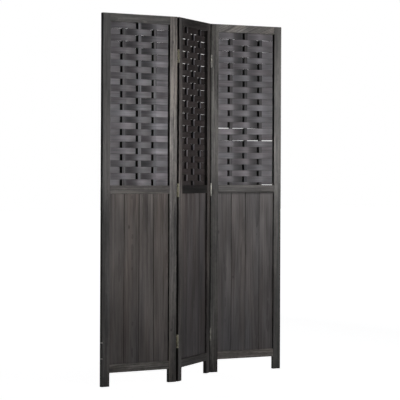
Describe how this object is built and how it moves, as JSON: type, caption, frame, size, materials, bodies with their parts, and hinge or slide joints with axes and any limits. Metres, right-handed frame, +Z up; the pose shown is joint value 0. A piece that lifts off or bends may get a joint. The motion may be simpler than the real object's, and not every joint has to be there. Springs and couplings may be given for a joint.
{
  "type": "folding screen",
  "caption": "Dark stained wooden folding screen: hinged panels with a plank lower half and a woven splint upper half on upright slats, standing in a zigzag.",
  "frame": {"origin": "on the floor, under the middle of the standing screen's bounding box", "axes": "+Z up; +X to the right along the left panel as seen from the front; -Y towards the viewer"},
  "size_m": [1.1473, 0.2534, 1.7],
  "materials": {
    "frame_wood": "dark stain, satin",
    "plank_wood": "dark stain, matt",
    "slat_wood": "dark stain, satin",
    "woven_band": "dark stain, satin",
    "dowel_wood": "bare",
    "hinge_brass": "dull antique plate",
    "screw_steel": "dull antique plate"
  },
  "bodies": {
    "left_panel": {"left_lower_hinge_outer_leaf": "hinge_brass", "left_middle_hinge_outer_leaf": "hinge_brass", "left_panel_bottom_rail": "frame_wood", "left_panel_frame_dowels": "dowel_wood", "left_panel_hinge_screws": "screw_steel", "left_panel_left_stile": "frame_wood", "left_panel_middle_rail": "frame_wood", "left_panel_plank_1": "plank_wood", "left_panel_plank_2": "plank_wood", "left_panel_plank_3": "plank_wood", "left_panel_plank_4": "plank_wood", "left_panel_right_stile": "frame_wood", "left_panel_slat_1": "slat_wood", "left_panel_slat_2": "slat_wood", "left_panel_slat_3": "slat_wood", "left_panel_top_rail": "frame_wood", "left_panel_weave_bands": "woven_band", "left_upper_hinge_outer_leaf": "hinge_brass"},
    "middle_panel": {"left_hinge_pins": "hinge_brass", "left_lower_hinge_inner_leaf": "hinge_brass", "left_middle_hinge_inner_leaf": "hinge_brass", "left_upper_hinge_inner_leaf": "hinge_brass", "middle_panel_bottom_rail": "frame_wood", "middle_panel_frame_dowels": "dowel_wood", "middle_panel_hinge_screws": "screw_steel", "middle_panel_left_stile": "frame_wood", "middle_panel_middle_rail": "frame_wood", "middle_panel_plank_1": "plank_wood", "middle_panel_plank_2": "plank_wood", "middle_panel_plank_3": "plank_wood", "middle_panel_plank_4": "plank_wood", "middle_panel_right_stile": "frame_wood", "middle_panel_slat_1": "slat_wood", "middle_panel_slat_2": "slat_wood", "middle_panel_slat_3": "slat_wood", "middle_panel_top_rail": "frame_wood", "middle_panel_weave_bands": "woven_band", "right_hinge_pins": "hinge_brass", "right_lower_hinge_inner_leaf": "hinge_brass", "right_middle_hinge_inner_leaf": "hinge_brass", "right_upper_hinge_inner_leaf": "hinge_brass"},
    "right_panel": {"right_lower_hinge_outer_leaf": "hinge_brass", "right_middle_hinge_outer_leaf": "hinge_brass", "right_panel_bottom_rail": "frame_wood", "right_panel_frame_dowels": "dowel_wood", "right_panel_hinge_screws": "screw_steel", "right_panel_left_stile": "frame_wood", "right_panel_middle_rail": "frame_wood", "right_panel_plank_1": "plank_wood", "right_panel_plank_2": "plank_wood", "right_panel_plank_3": "plank_wood", "right_panel_plank_4": "plank_wood", "right_panel_right_stile": "frame_wood", "right_panel_slat_1": "slat_wood", "right_panel_slat_2": "slat_wood", "right_panel_slat_3": "slat_wood", "right_panel_top_rail": "frame_wood", "right_panel_weave_bands": "woven_band", "right_upper_hinge_outer_leaf": "hinge_brass"}
  },
  "joints": [
    {"name": "left_fold", "type": "hinge", "parent": "middle_panel", "child": "left_panel", "pos_m": [-0.17219, -0.10567, 0.85], "axis": [0, 0, -1], "range_deg": [-35, 145]},
    {"name": "right_fold", "type": "hinge", "parent": "middle_panel", "child": "right_panel", "pos_m": [0.1717, 0.10582, 0.85], "axis": [0, 0, -1], "range_deg": [-39, 141]}
  ]
}
